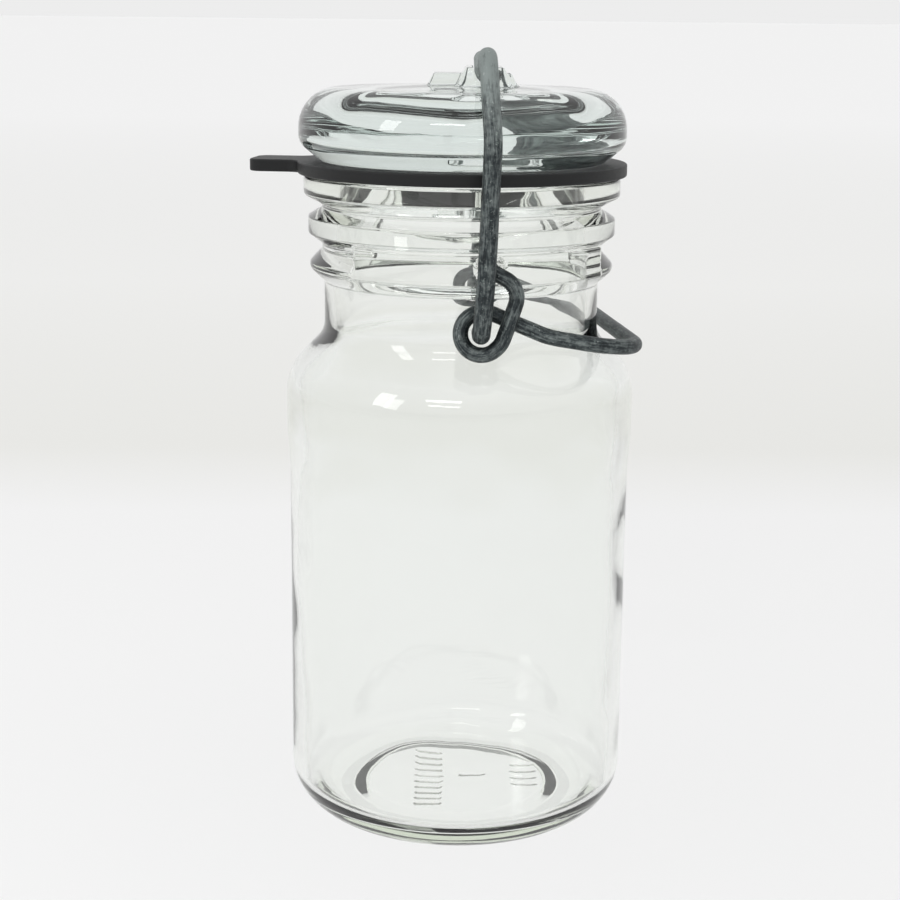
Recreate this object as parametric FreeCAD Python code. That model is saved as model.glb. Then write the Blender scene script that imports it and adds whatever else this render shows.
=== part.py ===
"""Wire-bail preserving jar, about one US pint: glass jar, glass lid, rubber ring and a two-piece wire clamp.

Millimetres, +Z up. The origin is on the jar's axis, on the plane that the foot rests on.
The clamp's pivots lie on a line along Y, a little to the handle's side of the axis.
The handle is on the +X side.
"""
import FreeCAD, Part
import math
import os

Vector = FreeCAD.Vector
UP = Vector(0, 0, 1)

# Jar body, outside
body_radius = 40.0
heel_radius = 12.0
foot_ring_width = 3.0
push_up_height = 2.5
push_up_slope = 3.0
straight_height = 84.0
shoulder_swell = 0.7
shoulder_rise = 23.4
shoulder_rounding = 13.0
neck_wall = 3.6
neck_fillet = 6.0
neck_length = 12.1

# Jar body, inside
wall = 3.0
floor_thickness = 3.6
floor_fillet = 4.5
mouth_radius = 28.2
mouth_depth = 12.0
neck_bore_overhang = 1.1

# Rings round the neck, from the lowest to the highest
bead_height = 7.2
bead_overhang = 3.9
groove_overhang = 0.4
groove_width = 1.4
band_height = 3.7
band_overhang = 3.6
band_lower_slope = 2.4
band_upper_slope = 2.0
rim_groove_width = 0.8
rim_slope = 2.3
rim_overhang = 4.6
rim_height = 4.6
ring_rounding = 0.7

# Upright lip that holds the rubber ring in place
lip_width = 2.0
lip_height = 1.6
lip_rounding = 0.6

# Rubber ring
ring_fit = 0.3
gasket_overhang = 1.4
gasket_thickness = 2.8
gasket_edge = 0.4
tab_length = 11.2
tab_width = 13.0
tab_corner = 3.0
tab_root_fillet = 3.0
tab_azimuth = 172.5

# Lid
lid_inset = 0.2
lid_height = 16.6
lid_land_width = 2.2
lid_under_rise = 4.0
lid_under_rounding = 4.0
lid_top_rounding = 9.0
lid_crown = 1.0
lid_skirt_depth = 3.0
lid_skirt_width = 2.2
lid_skirt_fit = 0.7
lid_roof_thickness = 11.5
lid_roof_drop = 0.8
lid_roof_inset = 9.2
lid_skirt_root_rise = 1.5

# Raised ramp on the lid, with the groove that holds the bail
ramp_x = 2.1
ramp_length = 18.4
ramp_width = 9.0
ramp_rise = 3.4
ramp_end_slope = 1.6
saddle_length = 9.8
saddle_width = 20.0
saddle_rise = 4.8
saddle_rounding = 2.2
ramp_sink = 2.0
bail_seat_rise = 3.9
channel_flare = 0.8

# Clamp wires
bail_wire_radius = 2.0
lever_wire_radius = 1.7
wire_gap = 0.35
leg_to_lever_gap = 0.6
bail_seat_gap = 0.3

# Clamp layout: the pivot line and the eye line lie along Y
pivot_x = 6.0
pivot_above_bead = 3.3
pad_half_angle = 55.0
pad_top = 1.6
pad_overhang = 3.5
pad_below_middle = 0.8
pad_edge = 0.5
dimple_radius = 2.6
dimple_flare = 0.6
dimple_depth = 3.0
pivot_end_gap = 0.6
eye_setback = 1.9
eye_drop = 13.7
eye_radius = 4.4
seat_x = 4.8
handle_gap = 1.5
handle_drop = 17.5
handle_skew = 5.3
handle_corner_radius = 13.0
handle_far_corner_radius = 8.0

# Lever outline, from the pivot to the handle
lever_exit_bend = 2.4
lever_front_offset = 1.5
lever_knee_reach = 6.6
lever_knee_above_eye = 10.2
lever_knee_bend = 4.5
lever_eye_entry_reach = 1.36
lever_eye_entry_rise = 2.6
lever_eye_entry_bend = 6.0
lever_eye_start = -22.5
lever_eye_turn = 45.0
lever_eye_corners = 7
lever_arm_share = 0.53
lever_arm_rise = 3.4
lever_arm_bend = 16.0
lever_arm_inset = 0.1
lever_arm_spread = 0.6
lever_handle_spread = 0.8

# Bail outline
bail_leg_gap = 2.0
bail_hook_radius = 3.0
bail_hook_end = 7.0
bail_shoulder_rise = 4.7
bail_far_shoulder_drop = 2.6
bail_shoulder_inset = 4.0
bail_leg_foot_rise = 13.0
bail_leg_foot_offset = 1.0
bail_leg_foot_radius = 12.0
bail_leg_top_offset = 2.0
bail_leg_bend_drop = 13.5
bail_leg_bend_radius = 20.0
bail_shoulder_radius = 6.0
bail_seat_half = 12.0
bail_seat_radius = 15.0

# Heights and radii that follow from the sizes above
shoulder_radius = body_radius + shoulder_swell
shoulder_height = straight_height + shoulder_rise
neck_radius = mouth_radius + neck_wall
neck_top = shoulder_height + shoulder_radius - neck_radius + neck_length
neck_bore_radius = mouth_radius + neck_bore_overhang
groove_radius = neck_radius + groove_overhang
band_radius = neck_radius + band_overhang
rim_radius = neck_radius + rim_overhang
pad_radius = neck_radius + pad_overhang
floor_height = push_up_height + floor_thickness
bore_radius = body_radius - wall
bead_middle = neck_top + bead_height / 2
bead_top = neck_top + bead_height
band_bottom = bead_top + groove_width
band_edge = band_bottom + band_lower_slope
band_top = band_edge + band_height
rim_groove_bottom = band_top + band_upper_slope
rim_bottom = rim_groove_bottom + rim_groove_width
rim_edge = rim_bottom + rim_slope
seat_height = rim_edge + rim_height
lip_radius = mouth_radius + lip_width
lip_top = seat_height + lip_height
gasket_radius = rim_radius + gasket_overhang
gasket_bore = lip_radius + ring_fit
tab_reach = gasket_radius + tab_length
gasket_top = seat_height + gasket_thickness
lid_top = gasket_top + lid_height
lid_radius = gasket_radius - lid_inset
lid_land_radius = lip_radius + lid_land_width
lid_skirt_radius = mouth_radius - lid_skirt_fit
lid_roof_radius = mouth_radius - lid_roof_inset
pivot_height = bead_middle + pivot_above_bead
pivot_azimuth = math.degrees(math.acos(pivot_x / pad_radius))
pad_face_y = math.sqrt(pad_radius ** 2 - pivot_x ** 2)
eye_x = pivot_x - eye_setback
eye_height = pivot_height - eye_drop
saddle_top = lid_top + saddle_rise
bail_leg_y = gasket_radius + bail_leg_gap + bail_wire_radius
bail_seat_height = lid_top + bail_seat_rise
handle_height = pivot_height - handle_drop
handle_reach = neck_radius + lever_wire_radius + handle_gap


def rounded_path(corners):
    """A wire through the corners: straight runs joined by tangent arcs. A corner is (point, radius)."""
    edges = []
    start = corners[0][0]
    for (before, _), (corner, radius), (after, _) in zip(corners, corners[1:], corners[2:]):
        to_before = (before - corner).normalize()
        to_after = (after - corner).normalize()
        half_turn = (math.pi - to_before.getAngle(to_after)) / 2
        if radius <= 0 or half_turn < 1e-4:
            edges.append(Part.LineSegment(start, corner).toShape())
            start = corner
            continue
        reach = radius * math.tan(half_turn)
        enter = corner + to_before * reach
        leave = corner + to_after * reach
        inward = (to_before + to_after).normalize()
        middle = corner + inward * (radius / math.cos(half_turn) - radius)
        if (enter - start).Length > 1e-6:
            edges.append(Part.LineSegment(start, enter).toShape())
        edges.append(Part.Arc(enter, middle, leave).toShape())
        start = leave
    edges.append(Part.LineSegment(start, corners[-1][0]).toShape())
    return Part.Wire(edges)


def turned(profile):
    """Solid of revolution about Z. The profile is a list of (radius, height, rounding), axis to axis."""
    corners = [(Vector(radius, 0, height), rounding) for radius, height, rounding in profile]
    outline = rounded_path(corners)
    axis_edge = Part.LineSegment(corners[-1][0], corners[0][0]).toShape()
    face = Part.Face(Part.Wire(outline.Edges + [axis_edge]))
    return face.revolve(Vector(0, 0, 0), UP, 360).removeSplitter()


def wire_solid(corners, radius):
    """Round wire swept along a rounded path."""
    path = rounded_path(corners)
    first = path.Edges[0]
    section = Part.Circle(first.valueAt(first.FirstParameter), first.tangentAt(first.FirstParameter), radius)
    return path.makePipeShell([Part.Wire(section.toShape())], True, False)


def other_side(points):
    """The points mirrored to the +Y side, in the opposite order."""
    return [(Vector(place.x, -place.y, place.z), radius) for place, radius in reversed(points)]


def jar_outside():
    foot = body_radius - heel_radius
    return [
        (0, push_up_height, 0),
        (foot - foot_ring_width - push_up_slope, push_up_height, 2.0),
        (foot - foot_ring_width, 0, 1.0),
        (body_radius, 0, heel_radius),
        (body_radius, straight_height, 40.0),
        (shoulder_radius, straight_height + 10.0, 40.0),
        (shoulder_radius, shoulder_height, shoulder_rounding),
        (neck_radius, shoulder_height + shoulder_radius - neck_radius, neck_fillet),
        (neck_radius, neck_top, ring_rounding),
        (neck_radius + bead_overhang, bead_middle, 1.6),
        (groove_radius, bead_top, 0.5),
        (groove_radius, band_bottom, 0.5),
        (band_radius, band_edge, ring_rounding),
        (band_radius, band_top, ring_rounding),
        (groove_radius, rim_groove_bottom, 0.3),
        (groove_radius, rim_bottom, 0.3),
        (rim_radius, rim_edge, ring_rounding),
        (rim_radius, seat_height, 1.0),
        (lip_radius, seat_height, 0.3),
        (lip_radius, lip_top, lip_rounding),
        (0, lip_top, 0),
    ]


def jar_inside():
    # The shoulder's inner face runs parallel to the outer one, a wall and a little more inside it
    shoulder_line = shoulder_height + shoulder_radius - 1.5 * wall
    swell = bore_radius + shoulder_swell
    return [
        (0, floor_height, 0),
        (bore_radius, floor_height, floor_fillet),
        (bore_radius, straight_height, 40.0),
        (swell, straight_height + 10.0, 30.0),
        (swell, shoulder_line - swell, 9.0),
        (neck_bore_radius, shoulder_line - neck_bore_radius, 8.0),
        (neck_bore_radius, lip_top - mouth_depth - 6.0, 8.0),
        (mouth_radius, lip_top - mouth_depth, 8.0),
        (mouth_radius, lip_top, 0),
        (0, lip_top, 0),
    ]


def dimple_pad(side):
    """Raised block round part of the neck, from the bead's middle to just under the band."""
    low = bead_middle - pad_below_middle
    high = band_bottom + pad_top
    inner = neck_radius - 1.0
    corners = [Vector(inner, 0, low), Vector(pad_radius, 0, low), Vector(pad_radius, 0, high - pad_edge),
               Vector(pad_radius - pad_edge, 0, high), Vector(inner, 0, high), Vector(inner, 0, low)]
    face = Part.Face(Part.makePolygon(corners))
    face.rotate(Vector(0, 0, 0), UP, side * pivot_azimuth - pad_half_angle)
    return face.revolve(Vector(0, 0, 0), UP, 2 * pad_half_angle)


def dimple(side):
    """The socket for one end of the lever: a blind hole with a rounded floor."""
    start = Vector(pivot_x, side * (pad_face_y - dimple_depth), pivot_height)
    outward = Vector(0, side, 0)
    hole = Part.makeCylinder(dimple_radius, dimple_depth + 5, start, outward)
    flare_start = start + outward * (dimple_depth - pad_edge)
    mouth_flare = Part.makeCone(dimple_radius, dimple_radius + dimple_flare, dimple_flare,
                                flare_start, outward)
    return hole.fuse(mouth_flare)


def make_jar_body():
    body = turned(jar_outside())
    body = body.fuse([dimple_pad(-1), dimple_pad(1)])
    body = body.cut(turned(jar_inside()))
    body = body.cut(dimple(-1)).cut(dimple(1))
    return body.removeSplitter()


def make_gasket():
    ring = Part.makeCylinder(gasket_radius, gasket_thickness, Vector(0, 0, seat_height))
    tab = Part.makeBox(tab_reach, tab_width, gasket_thickness, Vector(0, -tab_width / 2, seat_height))
    corners = [edge for edge in tab.Edges
               if abs(edge.tangentAt(edge.FirstParameter).z) > 0.9 and edge.CenterOfMass.x > 1]
    tab = tab.makeFillet(tab_corner, corners)
    whole = ring.fuse(tab).removeSplitter()
    upright = [edge for edge in whole.Edges if abs(edge.tangentAt(edge.FirstParameter).z) > 0.9]
    roots = [edge for edge in upright
             if abs(abs(edge.CenterOfMass.y) - tab_width / 2) < 0.01 and edge.CenterOfMass.x < gasket_radius]
    whole = whole.makeFillet(tab_root_fillet, roots)
    rims = [edge for edge in whole.Edges if abs(edge.tangentAt(edge.FirstParameter).z) < 0.1]
    whole = whole.makeFillet(gasket_edge, rims)
    whole = whole.cut(Part.makeCylinder(gasket_bore, gasket_thickness + 2, Vector(0, 0, seat_height - 1)))
    whole.rotate(Vector(0, 0, 0), UP, tab_azimuth)
    return whole


def lid_profile():
    roof = lid_top - lid_roof_thickness
    skirt_bottom = gasket_top - lid_skirt_depth
    skirt_inner = lid_skirt_radius - lid_skirt_width
    return [
        (0, roof, 0),
        (lid_roof_radius, roof - lid_roof_drop, 8.0),
        (skirt_inner, gasket_top + lid_skirt_root_rise, 3.0),
        (skirt_inner, skirt_bottom, 0.8),
        (lid_skirt_radius, skirt_bottom, 0.8),
        (lid_skirt_radius, gasket_top, 0.4),
        (lid_land_radius, gasket_top, 0.8),
        (lid_radius, gasket_top + lid_under_rise, lid_under_rounding),
        (lid_radius, lid_top - 0.1, lid_top_rounding),
        (lid_radius - lid_top_rounding - 6.0, lid_top, 30.0),
        (0, lid_top + lid_crown, 0),
    ]


def softened(block, radius):
    """The block with its top and upright edges rounded; the bottom face stays sharp."""
    floor = block.BoundBox.ZMin
    edges = [edge for edge in block.Edges if edge.CenterOfMass.z > floor + 0.01]
    return block.makeFillet(radius, edges)


def make_lid():
    base = lid_top - ramp_sink
    top = lid_top + ramp_rise
    half = ramp_length / 2
    side_view = [Vector(ramp_x - half - ramp_end_slope, -ramp_width / 2, base),
                 Vector(ramp_x - half, -ramp_width / 2, top),
                 Vector(ramp_x + half, -ramp_width / 2, top),
                 Vector(ramp_x + half + ramp_end_slope, -ramp_width / 2, base)]
    ramp = Part.Face(Part.makePolygon(side_view + side_view[:1])).extrude(Vector(0, ramp_width, 0))
    ramp = softened(ramp, 0.8)
    saddle = Part.makeBox(saddle_length, saddle_width, saddle_rise + ramp_sink,
                          Vector(seat_x - saddle_length / 2, -saddle_width / 2, base))
    saddle = softened(saddle, saddle_rounding)
    lid = turned(lid_profile()).fuse([ramp, saddle])
    channel_radius = bail_wire_radius + bail_seat_gap
    channel_start = Vector(seat_x, -saddle_width, bail_seat_height)
    channel = Part.makeCylinder(channel_radius, 2 * saddle_width, channel_start, Vector(0, 1, 0))
    flare = [Vector(seat_x - channel_radius, -saddle_width, bail_seat_height),
             Vector(seat_x + channel_radius, -saddle_width, bail_seat_height),
             Vector(seat_x + channel_radius + channel_flare, -saddle_width, saddle_top + 1),
             Vector(seat_x - channel_radius - channel_flare, -saddle_width, saddle_top + 1)]
    opening = Part.Face(Part.makePolygon(flare + flare[:1])).extrude(Vector(0, 2 * saddle_width, 0))
    return lid.cut(channel.fuse(opening)).removeSplitter()


def bail_half(side, shoulder_rise):
    """One side of the bail, from the hook's end to the groove in the lid."""
    leg_y = side * bail_leg_y
    shoulder_y = side * (bail_leg_y - bail_shoulder_inset)
    return [
        (Vector(eye_x, side * (bail_leg_y - bail_hook_end), eye_height), 0),
        (Vector(eye_x, leg_y, eye_height), bail_hook_radius),
        (Vector(eye_x + bail_leg_foot_offset, leg_y, eye_height + bail_leg_foot_rise), bail_leg_foot_radius),
        (Vector(eye_x + bail_leg_top_offset, leg_y, bail_seat_height - bail_leg_bend_drop),
         bail_leg_bend_radius),
        (Vector(seat_x, shoulder_y, bail_seat_height + shoulder_rise), bail_shoulder_radius),
        (Vector(seat_x, side * bail_seat_half, bail_seat_height), bail_seat_radius),
    ]


def make_bail_wire():
    near = bail_half(-1, bail_shoulder_rise)
    far = bail_half(1, bail_shoulder_rise - bail_far_shoulder_drop)
    return wire_solid(near + far[::-1], bail_wire_radius)


def lever_half(reach, corner_rounding):
    """One side of the lever, from the pivot end to the handle's corner, drawn on the -Y side."""
    pitch = 2 * lever_wire_radius + wire_gap
    exit_y = bail_leg_y - bail_wire_radius - lever_wire_radius - leg_to_lever_gap
    front_y = exit_y + lever_front_offset
    back_y = front_y - pitch
    handle_y = exit_y + lever_handle_spread
    points = [
        (Vector(pivot_x, -(pad_face_y - dimple_depth + pivot_end_gap), pivot_height), 0),
        (Vector(pivot_x, -exit_y, pivot_height), lever_exit_bend),
        (Vector(pivot_x + lever_knee_reach, -exit_y - lever_arm_inset, eye_height + lever_knee_above_eye),
         lever_knee_bend),
        (Vector(eye_x + lever_eye_entry_reach * eye_radius, -front_y, eye_height + lever_eye_entry_rise),
         lever_eye_entry_bend),
    ]
    # The eye: a turn of straight corners, each rounded to the eye's own radius, that also runs inwards
    corner_radius = eye_radius / math.cos(math.radians(lever_eye_turn / 2))
    entry_y = front_y + wire_gap
    for corner in range(lever_eye_corners):
        angle = math.radians(lever_eye_start - lever_eye_turn * corner)
        y = entry_y - (entry_y - back_y) * corner / (lever_eye_corners - 1)
        points.append((Vector(eye_x + corner_radius * math.cos(angle), -y,
                              eye_height + corner_radius * math.sin(angle)), eye_radius))
    points += [
        (Vector(lever_arm_share * handle_reach, -exit_y - lever_arm_spread, handle_height + lever_arm_rise),
         lever_arm_bend),
        (Vector(reach, -handle_y, handle_height), corner_rounding),
    ]
    return points


def make_lever_wire():
    near = lever_half(handle_reach + handle_skew, handle_corner_radius)
    far = lever_half(handle_reach - handle_skew, handle_far_corner_radius)
    return wire_solid(near + other_side(far), lever_wire_radius)


def main():
    os.makedirs("parts", exist_ok=True)
    nodes = {
        "jar_body": make_jar_body(),
        "gasket": make_gasket(),
        "lid": make_lid(),
        "bail_wire": make_bail_wire(),
        "lever_wire": make_lever_wire(),
    }
    for name, shape in nodes.items():
        print(name, shape.isValid(), len(shape.Solids), round(shape.Volume, 1))
        shape.exportStep("parts/" + name + ".step")


main()
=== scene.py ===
"""Looks of a wire-bail preserving jar: pressed glass jar and lid, black rubber ring, weathered wire clamp.

Everything is in metres, +Z up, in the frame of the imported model, with the jar's axis on Z.
"""

import math

import bpy
from bpy.props import FloatProperty, FloatVectorProperty, IntProperty, PointerProperty
from mathutils import Matrix, Vector, noise


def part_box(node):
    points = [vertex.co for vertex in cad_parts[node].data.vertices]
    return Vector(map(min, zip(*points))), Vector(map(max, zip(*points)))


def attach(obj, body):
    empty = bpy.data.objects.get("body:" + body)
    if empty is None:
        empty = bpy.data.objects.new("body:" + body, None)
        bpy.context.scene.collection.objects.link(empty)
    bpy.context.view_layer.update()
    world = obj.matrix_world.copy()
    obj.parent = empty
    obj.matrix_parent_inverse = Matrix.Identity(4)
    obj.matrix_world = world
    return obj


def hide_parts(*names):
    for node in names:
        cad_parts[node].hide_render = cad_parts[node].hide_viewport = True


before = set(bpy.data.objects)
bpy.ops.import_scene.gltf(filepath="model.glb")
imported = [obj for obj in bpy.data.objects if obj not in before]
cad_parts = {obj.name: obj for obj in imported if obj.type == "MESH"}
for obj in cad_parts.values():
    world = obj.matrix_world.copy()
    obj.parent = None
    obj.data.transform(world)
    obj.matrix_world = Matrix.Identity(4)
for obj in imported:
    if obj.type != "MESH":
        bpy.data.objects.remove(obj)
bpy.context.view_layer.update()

bl_info = {
    "name": "Wire-bail preserving jar",
    "version": (1, 0, 0),
    "blender": (4, 5, 0),
    "location": "View3D > Sidebar > Preserving Jar",
    "description": "Builds a pressed-glass preserving jar with a glass lid, a rubber ring and a wire clamp",
    "category": "Add Mesh",
}

MM = 0.001
LID_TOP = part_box("lid")[1].z


def linear(code):
    """An sRGB hex colour as linear RGB."""
    channels = [int(code[i:i + 2], 16) / 255 for i in (1, 3, 5)]
    return [c / 12.92 if c <= 0.04045 else ((c + 0.055) / 1.055) ** 2.4 for c in channels]


def length(title, text, value):
    """A size shown in the scene's length unit. The value is in millimetres."""
    return FloatProperty(name=title, description=text, default=value * MM, min=0.0, unit="LENGTH",
                         precision=5)


def colour(title, text, code):
    """A colour shown as a swatch. The code is an sRGB hex value."""
    return FloatVectorProperty(name=title, description=text, default=linear(code), size=3, min=0.0,
                               max=1.0, subtype="COLOR")


def angle_in_degrees(title, text, value):
    """An angle. The value is in degrees."""
    return FloatProperty(name=title, description=text, default=math.radians(value), subtype="ANGLE")


class JarBodySettings(bpy.types.PropertyGroup):
    """Sizes and glass of the jar body."""
    body_radius: length("Body radius", "Outside of the straight wall", 40.0)
    heel_radius: length("Heel rounding", "Rounding between the wall and the foot", 12.0)
    straight_height: length("Straight height", "Top of the straight wall", 84.0)
    shoulder_swell: length("Shoulder swell", "How far the shoulder stands out past the wall", 0.7)
    shoulder_height: length("Shoulder height", "Where the shoulder would meet the neck's slope", 107.4)
    shoulder_rounding: length("Shoulder rounding", "Rounding of the shoulder", 13.0)
    neck_radius: length("Neck radius", "Outside of the neck", 31.8)
    neck_top: length("Neck top", "Underside of the bead", 128.4)
    wall: length("Wall", "Glass thickness of the straight wall", 3.0)
    floor_thickness: length("Floor", "Glass thickness of the base", 3.6)
    mouth_radius: length("Mouth radius", "Bore of the mouth", 28.2)
    waviness: length("Waviness", "How uneven the inner face of the pressed wall is", 0.32)
    mark_height: length("Base mark relief", "How far the plain bars on the base stand out", 0.45)
    tint: colour("Glass tint", "Colour that thick glass takes", "#e6ebe0")
    tint_depth: length("Tint depth", "Path through the glass that gives the tint", 45.0)


class LidSettings(bpy.types.PropertyGroup):
    """Sizes and glass of the lid."""
    lid_radius: length("Lid radius", "Outside of the rounded rim", 37.6)
    top_rounding: length("Rim rounding", "Rounding of the lid's upper edge", 9.0)
    under_rounding: length("Lower rounding", "Rounding of the lid's lower edge", 4.0)
    roof_thickness: length("Roof", "Glass thickness at the middle of the lid", 11.5)
    crown: length("Crown", "How far the middle of the lid stands above its rim", 1.0)
    ramp_rise: length("Ramp rise", "Height of the ramp above the lid", 3.4)
    saddle_rise: length("Saddle rise", "Height of the two lips beside the bail", 4.8)
    waviness: length("Waviness", "How uneven the pressed faces are", 0.03)
    tint: colour("Glass tint", "Colour that thick glass takes", "#dfeae6")
    tint_depth: length("Tint depth", "Path through the glass that gives the tint", 110.0)


class RubberSettings(bpy.types.PropertyGroup):
    """Finish of the rubber ring."""
    rubber: colour("Rubber", "Colour of the moulded rubber", "#0f1011")
    bloom: colour("Bloom", "Pale film that old rubber gets on its upper faces", "#2b2c2d")


class ClampSettings(bpy.types.PropertyGroup):
    """Sizes and finish of the two wires."""
    bail_wire_radius: length("Bail wire radius", "Radius of the upper wire", 2.0)
    lever_wire_radius: length("Lever wire radius", "Radius of the lower wire", 1.7)
    lumpiness: length("Lumpiness", "How uneven the dipped zinc coat is", 0.05)
    sides: IntProperty(name="Sides", description="Faces round a wire", default=28, min=12, max=64)
    zinc: colour("Zinc", "Colour of the worn zinc coat", "#8b9391")
    patina: colour("Patina", "Colour of the dark weathered coat", "#33393b")
    verdigris: colour("Deposit", "Colour of the pale green-white deposit", "#8b9a92")


class StageSettings(bpy.types.PropertyGroup):
    """Floor, light and camera."""
    floor: colour("Floor", "Colour of the floor near the jar", "#eeeeee")
    # The floor behind carries painted shade and the far floor painted light, standing in for a horizon
    floor_behind_painted_shade: colour("Floor behind", "Colour of the floor just behind the jar", "#e6e6e3")
    floor_far_painted_light: colour("Far floor", "Colour of the floor far behind the jar", "#f9f9f9")
    camera_distance: length("Camera distance", "From the jar's axis, along the floor", 440.0)
    camera_height: length("Camera height", "Above the floor", 189.27)
    camera_side: angle_in_degrees("Camera side", "Angle round the jar from its front", -0.5)
    camera_tilt: angle_in_degrees("Camera tilt", "Angle that the camera looks down", 13.04)
    camera_pan: angle_in_degrees("Camera pan", "Angle that the camera is turned to the left", 0.277)
    camera_roll: angle_in_degrees("Camera roll", "Angle that the camera leans", 0.593)
    lens: FloatProperty(name="Lens", description="Focal length in millimetres on a 36 mm sensor",
                        default=75.92, min=1.0)


# ---------------------------------------------------------------- shapes

SHORTEST_RUN = 1e-7
LEAST_TURN = 1e-4


def rounded_runs(corners, longest, arc_step=math.radians(13)):
    """Points along straight runs joined by tangent arcs. A corner is (place, rounding)."""
    points = [corners[0][0].copy()]

    def run_to(place):
        start = points[-1].copy()
        parts = max(1, math.ceil((place - start).length / longest))
        if (place - start).length > SHORTEST_RUN:
            points.extend(start.lerp(place, (i + 1) / parts) for i in range(parts))

    for (before, _), (corner, rounding), (after, _) in zip(corners, corners[1:], corners[2:]):
        to_before = (before - corner).normalized()
        to_after = (after - corner).normalized()
        half_turn = (math.pi - to_before.angle(to_after)) / 2
        if rounding <= 0 or half_turn < LEAST_TURN:
            run_to(corner)
            continue
        reach = rounding * math.tan(half_turn)
        inward = (to_before + to_after).normalized()
        centre = corner + inward * (rounding / math.cos(half_turn))
        enter = corner + to_before * reach
        leave = corner + to_after * reach
        run_to(enter)
        first = (enter - centre).normalized()
        last = (leave - centre).normalized()
        turn = 2 * half_turn
        parts = max(2, math.ceil(turn / arc_step), math.ceil(turn * rounding / longest))
        for i in range(1, parts + 1):
            share = i / parts
            way = (first * math.sin((1 - share) * turn) + last * math.sin(share * turn)) / math.sin(turn)
            points.append(centre + way * rounding)
    run_to(corners[-1][0])
    return points


def profile(corners, longest):
    """A turned outline as (radius, height) points. A corner is (radius, height, rounding), in metres."""
    flat = [(Vector((radius, 0, height)), rounding) for radius, height, rounding in corners]
    return [(point.x, point.z) for point in rounded_runs(flat, longest)]


def step_up(value, low, high):
    """0 below low, 1 above high, smooth between."""
    share = min(1.0, max(0.0, (value - low) / (high - low)))
    return share * share * (3 - 2 * share)


def uneven(point, size, seed):
    """Smooth unevenness from about -1 to 1, with swells of the given size."""
    return noise.noise(Vector((point.x / size, point.y / size, point.z / size + seed)))


def turned_rings(outline, count, shape):
    """A ring of vertices round Z for each of the outline's points, all of them off the axis."""
    angles = [2 * math.pi * i / count for i in range(count)]
    return [shape(radius, height, angle) for radius, height in outline for angle in angles]


def turned_faces(rings, count):
    """A fan of faces round vertex 0, on the axis, and the bands between the rings that follow it."""
    faces = [(0, 1 + (i + 1) % count, 1 + i) for i in range(count)]
    for ring in range(rings - 1):
        low = 1 + ring * count
        for i in range(count):
            j = (i + 1) % count
            faces.append((low + i, low + j, low + count + j, low + count + i))
    return faces


def round_place(radius, height, angle):
    """The place at an angle round Z."""
    return Vector((radius * math.cos(angle), radius * math.sin(angle), height))


def smooth_mesh(name, vertices, faces, material):
    """An object with a smooth-shaded mesh whose faces point outwards."""
    mesh = bpy.data.meshes.new(name)
    mesh.from_pydata([tuple(v) for v in vertices], [], faces)
    mesh.validate()
    mesh.polygons.foreach_set("use_smooth", [True] * len(mesh.polygons))
    mesh.materials.append(material)
    mesh.update()
    piece = bpy.data.objects.new(name, mesh)
    bpy.context.scene.collection.objects.link(piece)
    return piece


def placed(piece, body, node):
    """The piece rides on its body and stands for its CAD node."""
    if len(piece.data.polygons) == 0:
        raise RuntimeError(piece.name + " has no faces")
    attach(piece, body)
    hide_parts(node)


# ---------------------------------------------------------------- materials

def add_node(tree, kind, inputs=None, **settings):
    """Adds a node. An input's value is a number, a colour or another node's output socket."""
    node = tree.nodes.new(kind)
    for name, value in settings.items():
        setattr(node, name, value)
    for name, value in (inputs or {}).items():
        socket = node.inputs[name]
        if isinstance(value, bpy.types.NodeSocket):
            tree.links.new(value, socket)
        else:
            socket.default_value = value
    return node


def new_material(name):
    """An empty node material and its tree."""
    material = bpy.data.materials.new(name)
    material.use_nodes = True
    material.node_tree.nodes.clear()
    return material, material.node_tree


def ramp(tree, factor, stops):
    """A colour ramp. A stop is (place, linear colour)."""
    node = add_node(tree, "ShaderNodeValToRGB", {"Fac": factor})
    elements = node.color_ramp.elements
    while len(elements) < len(stops):
        elements.new(0.5)
    for element, (place, rgb) in zip(elements, stops):
        element.position = place
        element.color = (*rgb, 1.0)
    return node.outputs["Color"]


def grey(value):
    return (value, value, value)


GLASS_IOR = 1.52
RUBBER_IOR = 1.52
RIPPLE_HEIGHT = 0.02 * MM
DARKEST_TINT = 0.02
# The absorbing colour is scaled so that its strongest channel keeps a fifth
DENSITY_MARGIN = 1.25


def pressed_glass(name, tint, tint_depth, ripple_size):
    """Soda-lime glass pressed in an iron mould: clear, IOR 1.52, with fire-polished faces that are never
    quite flat. The eye gets wavering reflections, dark rims where the glass turns away, and a green cast in
    the thick places."""
    material, tree = new_material(name)
    place = add_node(tree, "ShaderNodeTexCoord").outputs["Object"]
    # Swells left by the plunger, a few millimetres apart
    swell = add_node(tree, "ShaderNodeTexNoise", {"Vector": place, "Scale": 1 / ripple_size, "Detail": 2.0,
                                                  "Roughness": 0.45, "Distortion": 0.3})
    bump = add_node(tree, "ShaderNodeBump", {"Height": swell.outputs["Fac"], "Distance": RIPPLE_HEIGHT,
                                             "Strength": 1.0})
    shader = add_node(tree, "ShaderNodeBsdfPrincipled", {
        "Base Color": (0.985, 0.992, 0.985, 1.0), "Roughness": 0.015, "IOR": GLASS_IOR,
        "Transmission Weight": 1.0, "Normal": bump.outputs["Normal"]})
    # The tint is what white light keeps after the tint depth; absorption per metre follows from it
    losses = [-math.log(max(DARKEST_TINT, channel)) / tint_depth for channel in tint]
    density = max(losses) * DENSITY_MARGIN
    absorbing = add_node(tree, "ShaderNodeVolumeAbsorption", {
        "Color": (*[1 - loss / density for loss in losses], 1.0), "Density": density})
    add_node(tree, "ShaderNodeOutputMaterial", {"Surface": shader.outputs["BSDF"],
                                                "Volume": absorbing.outputs["Volume"]})
    return material


RUBBER_GRAIN = 0.5 * MM
BLOOM_CLOUD = 7 * MM


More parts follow.
